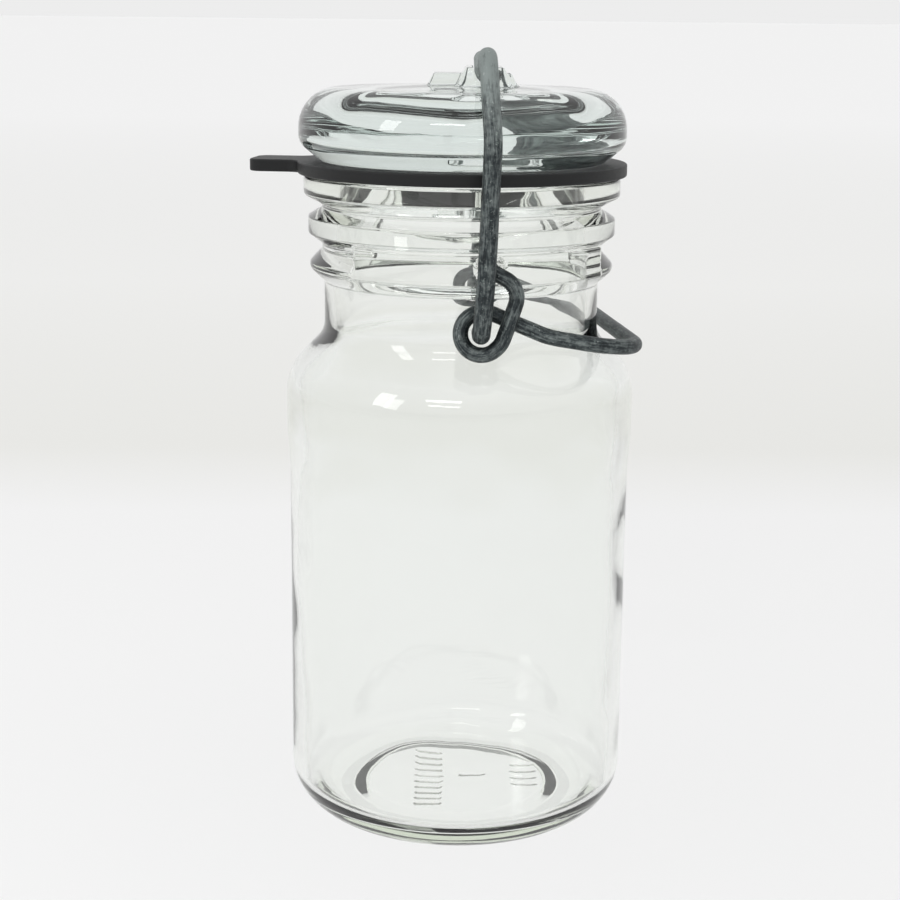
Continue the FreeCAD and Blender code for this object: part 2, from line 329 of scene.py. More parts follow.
def moulded_rubber(name, settings):
    """Black natural rubber, compression moulded: satin, with a fine grain and a pale bloom where it has
    dried."""
    material, tree = new_material(name)
    place = add_node(tree, "ShaderNodeTexCoord").outputs["Object"]
    grain = add_node(tree, "ShaderNodeTexNoise", {"Vector": place, "Scale": 1 / RUBBER_GRAIN, "Detail": 4.0})
    cloud = add_node(tree, "ShaderNodeTexNoise", {"Vector": place, "Scale": 1 / BLOOM_CLOUD, "Detail": 5.0,
                                                  "Roughness": 0.6})
    facing = add_node(tree, "ShaderNodeSeparateXYZ", {
        "Vector": add_node(tree, "ShaderNodeNewGeometry").outputs["Normal"]})
    # Bloom settles on faces that point up
    upward = add_node(tree, "ShaderNodeMapRange", {
        "Value": facing.outputs["Z"], "From Min": 0.2, "From Max": 1.0, "To Min": 0.0, "To Max": 0.85})
    share = add_node(tree, "ShaderNodeMath", {0: upward.outputs["Result"], 1: cloud.outputs["Fac"]},
                     operation="MULTIPLY")
    mix = add_node(tree, "ShaderNodeMix", {
        "Factor": share.outputs["Value"], "A": (*settings.rubber, 1.0), "B": (*settings.bloom, 1.0)},
        data_type="RGBA")
    rough = add_node(tree, "ShaderNodeMapRange", {
        "Value": grain.outputs["Fac"], "To Min": 0.42, "To Max": 0.62})
    bump = add_node(tree, "ShaderNodeBump", {"Height": grain.outputs["Fac"], "Distance": 0.03 * MM,
                                             "Strength": 0.6})
    shader = add_node(tree, "ShaderNodeBsdfPrincipled", {
        "Base Color": mix.outputs["Result"], "Roughness": rough.outputs["Result"], "IOR": RUBBER_IOR,
        "Specular IOR Level": 0.3, "Normal": bump.outputs["Normal"]})
    add_node(tree, "ShaderNodeOutputMaterial", {"Surface": shader.outputs["BSDF"]})
    return material


# Attribute on the wires: across the wire in X and Y, along it in Z, in metres
WIRE_PLACE = "wire_place"
SPECK_COLOUR = "#b9c0bd"
STREAK_STRETCH = 0.12
WORN_FROM, WORN_TO, WORN_LIFT = 160 * MM, 180 * MM, 0.22
DARK_SHARE = 0.45


def weathered_zinc(name, settings, seed):
    """Hot-dipped galvanised steel wire, decades old: the zinc has gone blue-grey to nearly black in
    patches, with bright rubbed spots, pale specks of zinc salts and fine lines along the drawn wire."""
    material, tree = new_material(name)
    place = add_node(tree, "ShaderNodeAttribute", attribute_name=WIRE_PLACE).outputs["Vector"]
    moved = add_node(tree, "ShaderNodeMapping", {"Vector": place, "Location": (0, 0, seed)})
    stretched = add_node(tree, "ShaderNodeMapping", {
        "Vector": moved.outputs["Vector"], "Scale": (1, 1, STREAK_STRETCH)})
    # Each pattern: where it lies, its size in millimetres, detail, roughness and distortion
    patches, streaks, specks, salts = [
        add_node(tree, "ShaderNodeTexNoise", {
            "Vector": mapping.outputs["Vector"], "Scale": 1 / (size * MM), "Detail": detail,
            "Roughness": roughness, "Distortion": distortion}).outputs["Fac"]
        for mapping, size, detail, roughness, distortion in (
            (moved, 2.2, 8.0, 0.74, 0.2), (stretched, 0.5, 4.0, 0.65, 0.0),
            (moved, 0.42, 3.0, 0.7, 0.0), (moved, 1.5, 4.0, 0.75, 0.0))]
    blend = add_node(tree, "ShaderNodeMath", {0: patches, 1: 0.5}, operation="MULTIPLY")
    blend = add_node(tree, "ShaderNodeMath", {0: streaks, 1: 0.5, 2: blend.outputs["Value"]},
                     operation="MULTIPLY_ADD")
    # Weather and hands keep the wire pale where it stands highest
    tall = add_node(tree, "ShaderNodeSeparateXYZ", {
        "Vector": add_node(tree, "ShaderNodeTexCoord").outputs["Object"]})
    worn = add_node(tree, "ShaderNodeMapRange", {
        "Value": tall.outputs["Z"], "From Min": WORN_FROM, "From Max": WORN_TO, "To Min": 0.0,
        "To Max": WORN_LIFT})
    blend = add_node(tree, "ShaderNodeMath", {0: blend.outputs["Value"], 1: worn.outputs["Result"]},
                     operation="ADD")
    middle = [(a + b) / 2 for a, b in zip(settings.zinc, settings.patina)]
    dark = [channel * DARK_SHARE for channel in settings.patina]
    coat = ramp(tree, blend.outputs["Value"], [(0.36, dark), (0.47, settings.patina), (0.58, middle),
                                               (0.68, settings.zinc)])
    salt_share = ramp(tree, salts, [(0.62, grey(0.0)), (0.70, grey(0.6))])
    salted = add_node(tree, "ShaderNodeMix", {
        "Factor": salt_share, "A": coat, "B": (*settings.verdigris, 1.0)}, data_type="RGBA")
    speck_share = ramp(tree, specks, [(0.63, grey(0.0)), (0.71, grey(0.7))])
    top = add_node(tree, "ShaderNodeMix", {
        "Factor": speck_share, "A": salted.outputs["Result"], "B": (*linear(SPECK_COLOUR), 1.0)},
        data_type="RGBA")
    rough = add_node(tree, "ShaderNodeMapRange", {
        "Value": blend.outputs["Value"], "From Min": 0.3, "From Max": 0.7, "To Min": 0.38, "To Max": 0.62})
    height = add_node(tree, "ShaderNodeMath", {0: specks, 1: 0.6, 2: blend.outputs["Value"]},
                      operation="MULTIPLY_ADD")
    bump = add_node(tree, "ShaderNodeBump", {"Height": height.outputs["Value"], "Distance": 0.12 * MM,
                                             "Strength": 0.8})
    metal = ramp(tree, salt_share, [(0.0, grey(0.75)), (0.7, grey(0.1))])
    shader = add_node(tree, "ShaderNodeBsdfPrincipled", {
        "Base Color": top.outputs["Result"], "Metallic": metal, "Roughness": rough.outputs["Result"],
        "Normal": bump.outputs["Normal"]})
    add_node(tree, "ShaderNodeOutputMaterial", {"Surface": shader.outputs["BSDF"]})
    return material


def lets_light_through(piece):
    """Clear glass throws almost no shadow, so the floor under it and round it stays light."""
    piece.visible_shadow = False
    piece.visible_diffuse = False


# ---------------------------------------------------------------- jar body

JAR_SPOKES = 400
PAD_HALF_ANGLE = math.radians(55)
PAD_END = math.radians(3)
PAD_RADIUS = 35.3 * MM
PAD_TOP = 138.4 * MM
PAD_BOTTOM = 131.2 * MM
PIVOT_HEIGHT = 135.3 * MM
PIVOT_X = 6.0 * MM
PIVOT_ANGLE = math.acos(PIVOT_X / PAD_RADIUS)
DIMPLE_RADIUS = 2.6 * MM
DIMPLE_DEPTH = 3.0 * MM
SEAT_HEIGHT = 152.8 * MM
LIP_TOP = 154.4 * MM
# Hard glass only touches rubber at its high spots, so a film of air keeps the glass bright there
AIR_FILM = 0.05 * MM
PUSH_UP = 2.5 * MM
BORE_NECK = 29.3 * MM
SWELL_RUN = 10 * MM
PAD_ROUND_IN, PAD_ROUND_OUT = 0.3 * MM, 0.5 * MM
DIMPLE_ROUND_IN, DIMPLE_ROUND_OUT = 0.35 * MM, 0.5 * MM
OUTER_RUN, INNER_RUN, DIMPLE_RUN = 2.1 * MM, 2.6 * MM, 0.45 * MM
BARS_RADIUS = 24 * MM
BARS_TOP = 3.0 * MM
FINE_BASE_RADIUS, FINE_BASE_RINGS = 22 * MM, 44
HEEL_TOP = 12 * MM
# How far the outside and the floor swell out of true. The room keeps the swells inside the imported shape
MOULD_SWELL = 0.08 * MM
FLOOR_SWELL = 0.22 * MM
SWELL_ROOM = 0.05 * MM
CURTAIN_STRETCH = 0.35
OUTSIDE_SEED, CURTAIN_SEED, RIPPLE_SEED, FLOOR_SEED, LID_SEED = 3.0, 11.0, 5.0, 21.0, 2.0


def jar_outside(s):
    """From the middle of the foot up the wall, the neck and its three rings, to the lip."""
    foot = s.body_radius - s.heel_radius
    shoulder = s.body_radius + s.shoulder_swell
    groove = s.neck_radius + 0.4 * MM
    band = s.neck_radius + 3.6 * MM
    rim = s.neck_radius + 4.6 * MM
    bead_middle = s.neck_top + 3.6 * MM
    bead_top = s.neck_top + 7.2 * MM
    band_low = bead_top + 1.4 * MM
    rim_low = bead_top + 9.5 * MM
    lip = s.mouth_radius + 2.0 * MM
    seat = SEAT_HEIGHT - AIR_FILM
    crisp, small, soft, long_curve = 0.3 * MM, 0.5 * MM, 0.7 * MM, 40 * MM
    return [
        (0, PUSH_UP, 0), (foot - 6.0 * MM, PUSH_UP, 2.0 * MM), (foot - 3.0 * MM, 0, 1.0 * MM),
        (s.body_radius, 0, s.heel_radius), (s.body_radius, s.straight_height, long_curve),
        (shoulder, s.straight_height + SWELL_RUN, long_curve),
        (shoulder, s.shoulder_height, s.shoulder_rounding),
        (s.neck_radius, s.shoulder_height + shoulder - s.neck_radius, 6.0 * MM),
        (s.neck_radius, s.neck_top, soft), (s.neck_radius + 3.9 * MM, bead_middle, 1.6 * MM),
        (groove, bead_top, small), (groove, band_low, small), (band, band_low + 2.4 * MM, soft),
        (band, band_low + 6.1 * MM, soft), (groove, rim_low, crisp), (groove, rim_low + 0.8 * MM, crisp),
        (rim, rim_low + 3.1 * MM, soft), (rim, seat, 1.0 * MM), (lip, seat, crisp),
        (lip, LIP_TOP, 0.6 * MM), (s.mouth_radius + 1.0 * MM, LIP_TOP, 0),
    ]


def jar_inside(s):
    """From the lip down the bore to the middle of the floor."""
    bore = s.body_radius - s.wall
    swell = bore + s.shoulder_swell
    line = s.shoulder_height + s.body_radius + s.shoulder_swell - 1.5 * s.wall
    floor = PUSH_UP + s.floor_thickness
    neck_curve = 8 * MM
    return [
        (s.mouth_radius + 1.0 * MM, LIP_TOP, 0), (s.mouth_radius, LIP_TOP, 0.6 * MM),
        (s.mouth_radius, LIP_TOP - 12 * MM, neck_curve), (BORE_NECK, LIP_TOP - 18 * MM, neck_curve),
        (BORE_NECK, line - BORE_NECK, neck_curve), (swell, line - swell, 9 * MM),
        (swell, s.straight_height + SWELL_RUN, 30 * MM), (bore, s.straight_height, 40 * MM),
        (bore, floor, 4.5 * MM), (0, floor, 0),
    ]


# Plain bars on the underside of the base, in millimetres about its middle: (across, along, length, width)
BASE_BARS = (
    [(-6.5, -17.0 + 3.6 * i, 6.0, 1.1) for i in range(10)]
    + [(4.0, 2.0, 5.0, 1.0)]
    + [(17.0, -4.0 + 4.2 * i, 5.0, 1.0) for i in range(4)]
)
BASE_TURN = math.radians(-0.5)
# A bar's relief falls from full to none between these shares of its width, from its middle line
BAR_FLAT, BAR_FOOT = 0.25, 0.95


def base_relief(x, y):
    """0 to 1: how much of the bars' relief there is at a point of the base."""
    across = x * math.cos(BASE_TURN) + y * math.sin(BASE_TURN)
    along = -x * math.sin(BASE_TURN) + y * math.cos(BASE_TURN)
    most = 0.0
    for middle, place, size, width in BASE_BARS:
        beside = max(0.0, abs(across - middle * MM) - (size - width) * MM / 2)
        distance = math.hypot(beside, along - place * MM)
        most = max(most, 1 - step_up(distance, BAR_FLAT * width * MM, BAR_FOOT * width * MM))
    return most


def jar_outer_shape(s):
    """Turned outside, with the bars on the base, the two pads and their dimples, and the long swells."""
    def shape(radius, height, angle):
        flat = round_place(radius, height, angle)
        if height < BARS_TOP and radius < BARS_RADIUS:
            height -= s.mark_height * base_relief(flat.x, flat.y)
        from_side = min(abs(angle - PIVOT_ANGLE), abs(2 * math.pi - angle - PIVOT_ANGLE))
        if PAD_BOTTOM < height < PAD_TOP + 0.6 * MM:
            ends = 1 - step_up(from_side, PAD_HALF_ANGLE - PAD_END, PAD_HALF_ANGLE)
            top = 1 - step_up(height, PAD_TOP - PAD_ROUND_IN, PAD_TOP + PAD_ROUND_OUT)
            radius += max(0.0, PAD_RADIUS - radius) * ends * top
            across = abs(PAD_RADIUS * math.cos(angle) - PIVOT_X)
            distance = math.hypot(across, height - PIVOT_HEIGHT)
            outside = step_up(distance, DIMPLE_RADIUS - DIMPLE_ROUND_IN, DIMPLE_RADIUS + DIMPLE_ROUND_OUT)
            radius -= DIMPLE_DEPTH * (1 - outside)
        if HEEL_TOP < height < s.neck_top:
            # The mould's iron is smooth; only the long swells of a hand-worked mould show outside
            radius += MOULD_SWELL * uneven(flat, 22 * MM, OUTSIDE_SEED) - SWELL_ROOM
        return round_place(radius, height, angle)
    return shape


def jar_inner_shape(s):
    """Turned inside, uneven below the mouth and on the floor."""
    floor = PUSH_UP + s.floor_thickness

    def shape(radius, height, angle):
        flat = round_place(radius, height, angle)
        if height < s.neck_top and radius > 20 * MM:
            # Blown glass runs down the wall in long uneven curtains
            long_way = Vector((flat.x, flat.y, flat.z * CURTAIN_STRETCH))
            above_floor = step_up(height, floor + 1 * MM, floor + 14 * MM)
            share = above_floor * (1 - step_up(height, 118 * MM, 128 * MM))
            drift = uneven(long_way, 17 * MM, CURTAIN_SEED) + 0.5 * uneven(flat, 12 * MM, RIPPLE_SEED)
            radius += s.waviness * drift * share - SWELL_ROOM * share
        if height < floor + 0.5 * MM:
            near_middle = 1 - step_up(radius, 26 * MM, 34 * MM)
            height += FLOOR_SWELL * uneven(flat, 13 * MM, FLOOR_SEED) * near_middle
        return round_place(radius, height, angle)
    return shape


def finer_rings(outline, low, high, step):
    """The outline with points added where it lies between two heights and its gaps are over the step."""
    refined = []
    for before, after in zip(outline, outline[1:]):
        refined.append(before)
        gap = math.hypot(after[0] - before[0], after[1] - before[1])
        if low < after[1] and before[1] < high and gap > step:
            parts = math.ceil(gap / step)
            refined += [(before[0] + (after[0] - before[0]) * i / parts,
                         before[1] + (after[1] - before[1]) * i / parts) for i in range(1, parts)]
    return refined + [outline[-1]]


def make_jar_body(s):
    """The jar, closed at the middle of its base and at the middle of its floor."""
    outer = profile(jar_outside(s), OUTER_RUN)[1:]
    inner = profile(jar_inside(s), INNER_RUN)[1:-1]
    # Finer rings on the base for the bars, and at the dimples
    fine_base = [(FINE_BASE_RADIUS * i / FINE_BASE_RINGS, PUSH_UP) for i in range(1, FINE_BASE_RINGS)]
    outer = fine_base + [(r, z) for r, z in outer if r > FINE_BASE_RADIUS or z > 4 * MM]
    outer = finer_rings(outer, PAD_BOTTOM - 1 * MM, PAD_TOP, DIMPLE_RUN)
    vertices = [Vector((0, 0, PUSH_UP))]
    vertices += turned_rings(outer, JAR_SPOKES, jar_outer_shape(s))
    vertices += turned_rings(inner, JAR_SPOKES, jar_inner_shape(s))
    vertices.append(Vector((0, 0, PUSH_UP + s.floor_thickness)))
    rings = len(outer) + len(inner)
    faces = turned_faces(rings, JAR_SPOKES)
    last = 1 + (rings - 1) * JAR_SPOKES
    faces += [(last + i, last + (i + 1) % JAR_SPOKES, len(vertices) - 1) for i in range(JAR_SPOKES)]
    glass = pressed_glass("Pressed soda-lime glass, jar", s.tint, s.tint_depth, 9 * MM)
    piece = smooth_mesh("jar_glass_body", vertices, faces, glass)
    lets_light_through(piece)
    placed(piece, "jar", "jar_body")


# ---------------------------------------------------------------- lid

LID_SPOKES = 376
TOP_PATCH = 24.0 * MM
FINE_HALF = 12.0 * MM
FINE_RINGS = 33
GASKET_TOP = 155.6 * MM
SADDLE_X = 4.8 * MM
SADDLE_HALF_LENGTH = 4.9 * MM
SADDLE_HALF_WIDTH = 10.0 * MM
RAMP_X = 2.1 * MM
RAMP_HALF_LENGTH = 9.2 * MM
RAMP_HALF_WIDTH = 4.5 * MM
BAIL_SEAT = 3.9 * MM
CHANNEL = 2.3 * MM
CHANNEL_LIP = 1.2 * MM
CHANNEL_SLOPE = 3.0
CHANNEL_DEEPEST = 0.4 * MM
SKIRT_RADIUS, SKIRT_WALL, SKIRT_DEPTH = 27.5 * MM, 2.2 * MM, 3.0 * MM
CAVITY_RADIUS = 19 * MM
LAND_RADIUS = 32.4 * MM
LID_RUN = 1.3 * MM
# Shares of a block's drafted edge that lie inside and outside its outline
DRAFT_IN, DRAFT_OUT = 0.35, 0.65
LID_SWELL = 9 * MM


def lid_outline(s):
    """From the middle of the lid's underside, round the skirt and the rim, to the edge of the top patch."""
    top = LID_TOP - s.saddle_rise
    roof = top - s.roof_thickness
    skirt_in = SKIRT_RADIUS - SKIRT_WALL
    low = GASKET_TOP - SKIRT_DEPTH
    land = GASKET_TOP + AIR_FILM
    soft = 0.8 * MM
    return [
        (0, roof, 0), (CAVITY_RADIUS, roof - 0.8 * MM, 8 * MM), (skirt_in, GASKET_TOP + 1.5 * MM, 3 * MM),
        (skirt_in, low, soft), (SKIRT_RADIUS, low, soft), (SKIRT_RADIUS, land, 0.4 * MM),
        (LAND_RADIUS, land, soft), (s.lid_radius, GASKET_TOP + 4 * MM, s.under_rounding),
        (s.lid_radius, top - 0.1 * MM, s.top_rounding),
        (s.lid_radius - s.top_rounding - 6 * MM, top, 30 * MM), (0, top + s.crown, 0),
    ]


def soft_block(x, y, half_x, half_y, edge):
    """0 outside a rectangle, 1 well inside it, with a drafted edge."""
    inside_x = 1 - step_up(abs(x), half_x - edge * DRAFT_IN, half_x + edge * DRAFT_OUT)
    inside_y = 1 - step_up(abs(y), half_y - edge * DRAFT_IN, half_y + edge * DRAFT_OUT)
    return inside_x * inside_y


def lid_relief(s, x, y, base):
    """Height of the lid's top at a point: crown, ramp, saddle lips and the groove for the bail."""
    top = LID_TOP - s.saddle_rise
    ramp_share = soft_block(x - RAMP_X, y, RAMP_HALF_LENGTH, RAMP_HALF_WIDTH, 2.2 * MM)
    saddle_share = soft_block(x - SADDLE_X, y, SADDLE_HALF_LENGTH, SADDLE_HALF_WIDTH, 2.8 * MM)
    height = base + max(0.0, top + s.ramp_rise - base) * ramp_share
    height = max(height, base + max(0.0, top + s.saddle_rise - base) * saddle_share)
    across = abs(x - SADDLE_X)
    centre = top + BAIL_SEAT
    if across < CHANNEL + CHANNEL_LIP and abs(y) < SADDLE_HALF_WIDTH + 3 * MM:
        if across < CHANNEL:
            groove = centre - math.sqrt(CHANNEL ** 2 - across ** 2)
        else:
            groove = centre + (across - CHANNEL) * CHANNEL_SLOPE
        height = min(height, max(groove, base - CHANNEL_DEEPEST))
    return height


def grid_place(i, j, rings):
    """A square grid that turns into a round one at its edge."""
    k = max(abs(i), abs(j))
    if k == 0:
        return 0.0, 0.0
    fine = FINE_HALF / FINE_RINGS
    if k <= FINE_RINGS:
        reach = k * fine
    else:
        reach = FINE_HALF + (k - FINE_RINGS) * (TOP_PATCH - FINE_HALF) / (rings - FINE_RINGS)
    share = step_up(reach, FINE_HALF, TOP_PATCH)
    if abs(i) >= abs(j):
        angle = math.pi / 4 * j / i + (0 if i > 0 else math.pi)
    else:
        angle = math.pi / 2 - math.pi / 4 * i / j + (0 if j > 0 else math.pi)
    square = (i / k * reach, j / k * reach)
    round_one = (reach * math.cos(angle), reach * math.sin(angle))
    return tuple(a * (1 - share) + b * share for a, b in zip(square, round_one))


def make_lid(s):
    """The lid: a turned underside and rim, closed on top by a square grid that holds the ramp."""
    rings = LID_SPOKES // 8
    outline = profile(lid_outline(s), LID_RUN)
    crown = sorted(point for point in outline if point[1] > LID_TOP - s.saddle_rise - 3 * MM)

    def crown_height(radius):
        for (r1, z1), (r2, z2) in zip(crown, crown[1:]):
            if r1 <= radius <= r2:
                return z1 + (z2 - z1) * (radius - r1) / max(1e-9, r2 - r1)
        return crown[0][1]

    turned = []
    for radius, height in outline[1:]:
        if radius < TOP_PATCH + 0.2 * MM and height > LID_TOP - s.saddle_rise - 1 * MM:
            break
        turned.append((radius, height))

    def shape(radius, height, angle):
        flat = round_place(radius, height, angle)
        share = 1.0 if height > GASKET_TOP + 2 * MM else 0.0
        wobble = s.waviness * uneven(flat, LID_SWELL, LID_SEED) * share
        return round_place(radius + wobble - 0.06 * MM * share, height + 0.5 * wobble, angle)

    vertices = [Vector((0, 0, outline[0][1]))] + turned_rings(turned, LID_SPOKES, shape)
    faces = turned_faces(len(turned), LID_SPOKES)
    start = len(vertices)
    side = 2 * rings + 1
    edge = {}
    for i in range(-rings, rings + 1):
        for j in range(-rings, rings + 1):
            x, y = grid_place(i, j, rings)
            place = Vector((x, y, lid_relief(s, x, y, crown_height(math.hypot(x, y)))))
            place.z += 0.5 * s.waviness * uneven(place, LID_SWELL, LID_SEED)
            if max(abs(i), abs(j)) == rings:
                angle = math.atan2(y, x) % (2 * math.pi)
                edge[round(angle / (2 * math.pi) * LID_SPOKES) % LID_SPOKES] = len(vertices)
            vertices.append(place)
    for i in range(side - 1):
        for j in range(side - 1):
            a = start + i * side + j
            faces.append((a, a + side, a + side + 1, a + 1))
    last = 1 + (len(turned) - 1) * LID_SPOKES
    for i in range(LID_SPOKES):
        j = (i + 1) % LID_SPOKES
        faces.append((last + i, last + j, edge[j], edge[i]))
    glass = pressed_glass("Pressed soda-lime glass, lid", s.tint, s.tint_depth, 7 * MM)
    piece = smooth_mesh("lid_glass_dome", vertices, faces, glass)
    lets_light_through(piece)
    placed(piece, "jar", "lid")


# ---------------------------------------------------------------- wires

EYE_X = PIVOT_X - 1.9 * MM
EYE_HEIGHT = 121.6 * MM
EYE_RADIUS = 4.4 * MM
BAIL_SEAT_HEIGHT = 176.1 * MM
BAIL_LEG_Y = 41.8 * MM
HANDLE_HEIGHT = 117.8 * MM
HOOK_REACH = 7.0 * MM
LEG_FOOT_OFFSET, LEG_FOOT_RISE = 1.0 * MM, 13.0 * MM
LEG_TOP_OFFSET, LEG_TOP_DROP = 2.0 * MM, 13.5 * MM
SHOULDER_Y = BAIL_LEG_Y - 4.0 * MM
DIP_HALF_WIDTH = 12.0 * MM
KNEE_REACH, KNEE_RISE = 6.6 * MM, 10.2 * MM
ARM_X, ARM_RISE, ARM_BEND = 18.55 * MM, 3.4 * MM, 16.0 * MM
NEAR_SHOULDER_RISE, FAR_SHOULDER_RISE = 4.7 * MM, 2.1 * MM
# Each handle corner: how far out it stands, and its rounding
NEAR_CORNER, FAR_CORNER = (40.3 * MM, 13.0 * MM), (29.7 * MM, 8.0 * MM)
WIRE_GAP = 0.35 * MM
BAIL_GAP = 0.6 * MM
WIRE_RUN, WIRE_ARC_STEP = 0.45 * MM, math.radians(6)
EYE_CORNERS = 7
LUMP_SIZE = 2.6 * MM
# Just over the noise's mean, so that the coat's lumps hardly rise past the wire's radius
LUMP_MIDDLE = 0.62


def bail_half(side, shoulder_rise):
    """One side of the bail's middle line: hook, leg, shoulder and the edge of the dip."""
    leg_y = side * BAIL_LEG_Y
    return [
        (Vector((EYE_X, side * (BAIL_LEG_Y - HOOK_REACH), EYE_HEIGHT)), 0),
        (Vector((EYE_X, leg_y, EYE_HEIGHT)), 3.0 * MM),
        (Vector((EYE_X + LEG_FOOT_OFFSET, leg_y, EYE_HEIGHT + LEG_FOOT_RISE)), 12.0 * MM),
        (Vector((EYE_X + LEG_TOP_OFFSET, leg_y, BAIL_SEAT_HEIGHT - LEG_TOP_DROP)), 20.0 * MM),
        (Vector((SADDLE_X, side * SHOULDER_Y, BAIL_SEAT_HEIGHT + shoulder_rise)), 6.0 * MM),
        (Vector((SADDLE_X, side * DIP_HALF_WIDTH, BAIL_SEAT_HEIGHT)), 15.0 * MM),
    ]


def bail_route():
    """The bail's middle line. Its far shoulder is bent lower than its near one."""
    corners = bail_half(-1, NEAR_SHOULDER_RISE) + bail_half(1, FAR_SHOULDER_RISE)[::-1]
    return rounded_runs(corners, WIRE_RUN, WIRE_ARC_STEP)


def lever_half(s, reach, corner_rounding):
    """One side of the lever's middle line, drawn on the -Y side: pivot end, drop, eye and handle corner."""
    pitch = 2 * s.lever_wire_radius + WIRE_GAP
    exit_y = BAIL_LEG_Y - s.bail_wire_radius - s.lever_wire_radius - BAIL_GAP
    front_y = exit_y + 1.5 * MM
    back_y = front_y - pitch
    pad_face_y = math.sqrt(PAD_RADIUS ** 2 - PIVOT_X ** 2)
    half = [
        (Vector((PIVOT_X, -(pad_face_y - DIMPLE_DEPTH + 0.6 * MM), PIVOT_HEIGHT)), 0),
        (Vector((PIVOT_X, -exit_y, PIVOT_HEIGHT)), 2.4 * MM),
        (Vector((PIVOT_X + KNEE_REACH, -exit_y - 0.1 * MM, EYE_HEIGHT + KNEE_RISE)), 4.5 * MM),
        (Vector((EYE_X + 1.36 * EYE_RADIUS, -front_y, EYE_HEIGHT + 2.6 * MM)), 6.0 * MM),
    ]
    # The eye is most of an octagon with rounded corners, and its turn runs back by one pitch
    corner = EYE_RADIUS / math.cos(math.pi / 8)
    for step in range(EYE_CORNERS):
        angle = math.radians(-22.5 - 45.0 * step)
        y = front_y + 0.3 * MM - (front_y + 0.3 * MM - back_y) * step / (EYE_CORNERS - 1)
        half.append((Vector((EYE_X + corner * math.cos(angle), -y, EYE_HEIGHT + corner * math.sin(angle))),
                     EYE_RADIUS))
    half += [
        (Vector((ARM_X, -exit_y - 0.6 * MM, HANDLE_HEIGHT + ARM_RISE)), ARM_BEND),
        (Vector((reach, -exit_y - 0.8 * MM, HANDLE_HEIGHT)), corner_rounding),
    ]
    return half


def lever_route(s):
    """The lever's middle line. Its handle stands further out on the near side."""
    near, far = lever_half(s, *NEAR_CORNER), lever_half(s, *FAR_CORNER)
    other_side = [(Vector((point.x, -point.y, point.z)), rounding) for point, rounding in reversed(far)]
    return rounded_runs(near + other_side, WIRE_RUN, WIRE_ARC_STEP)


def wire_tree():
    """Geometry nodes that draw round wire along a curve, with an uneven dipped coat."""
    tree = bpy.data.node_groups.new("Round wire along a curve", "GeometryNodeTree")
    for name, kind in (("Geometry", "Geometry"), ("Wire radius", "Float"), ("Lumpiness", "Float"),
                       ("Sides", "Int"), ("Material", "Material")):
        tree.interface.new_socket(name, in_out="INPUT", socket_type="NodeSocket" + kind)
    tree.interface.new_socket("Geometry", in_out="OUTPUT", socket_type="NodeSocketGeometry")
    entry = add_node(tree, "NodeGroupInput")
    section = add_node(tree, "GeometryNodeCurvePrimitiveCircle", {
        "Resolution": entry.outputs["Sides"], "Radius": entry.outputs["Wire radius"]})
    spot = add_node(tree, "GeometryNodeCaptureAttribute")
    spot.capture_items.new("VECTOR", "Spot")
    tree.links.new(section.outputs["Curve"], spot.inputs["Geometry"])
    tree.links.new(add_node(tree, "GeometryNodeInputPosition").outputs["Position"], spot.inputs["Spot"])
    along = add_node(tree, "GeometryNodeCaptureAttribute")
    along.capture_items.new("FLOAT", "Along")
    tree.links.new(entry.outputs["Geometry"], along.inputs["Geometry"])
    tree.links.new(add_node(tree, "GeometryNodeSplineParameter").outputs["Length"], along.inputs["Along"])
    swept = add_node(tree, "GeometryNodeCurveToMesh", {
        "Curve": along.outputs["Geometry"], "Profile Curve": spot.outputs["Geometry"], "Fill Caps": True})
    parts = add_node(tree, "ShaderNodeSeparateXYZ", {"Vector": spot.outputs["Spot"]})
    place = add_node(tree, "ShaderNodeCombineXYZ", {
        "X": parts.outputs["X"], "Y": parts.outputs["Y"], "Z": along.outputs["Along"]})
    stored = add_node(tree, "GeometryNodeStoreNamedAttribute", {
        "Geometry": swept.outputs["Mesh"], "Name": WIRE_PLACE, "Value": place.outputs["Vector"]},
        data_type="FLOAT_VECTOR", domain="POINT")
    lumps = add_node(tree, "ShaderNodeTexNoise", {
        "Vector": place.outputs["Vector"], "Scale": 1 / LUMP_SIZE, "Detail": 2.0, "Roughness": 0.5})
    centred = add_node(tree, "ShaderNodeMath", {0: lumps.outputs["Fac"], 1: LUMP_MIDDLE},
                       operation="SUBTRACT")
    amount = add_node(tree, "ShaderNodeMath", {0: centred.outputs["Value"], 1: entry.outputs["Lumpiness"]},
                      operation="MULTIPLY")
    twice = add_node(tree, "ShaderNodeMath", {0: amount.outputs["Value"], 1: 2.0}, operation="MULTIPLY")
    push = add_node(tree, "ShaderNodeVectorMath", {
        0: add_node(tree, "GeometryNodeInputNormal").outputs["Normal"], "Scale": twice.outputs["Value"]},
        operation="SCALE")
    moved = add_node(tree, "GeometryNodeSetPosition", {"Geometry": stored.outputs["Geometry"],
                                                       "Offset": push.outputs["Vector"]})
    smooth = add_node(tree, "GeometryNodeSetShadeSmooth", {"Geometry": moved.outputs["Geometry"]})
    real = add_node(tree, "GeometryNodeRealizeInstances", {"Geometry": smooth.outputs["Geometry"]})
    coated = add_node(tree, "GeometryNodeSetMaterial", {"Geometry": real.outputs["Geometry"],
                                                        "Material": entry.outputs["Material"]})
    add_node(tree, "NodeGroupOutput", {"Geometry": coated.outputs["Geometry"]})
    return tree


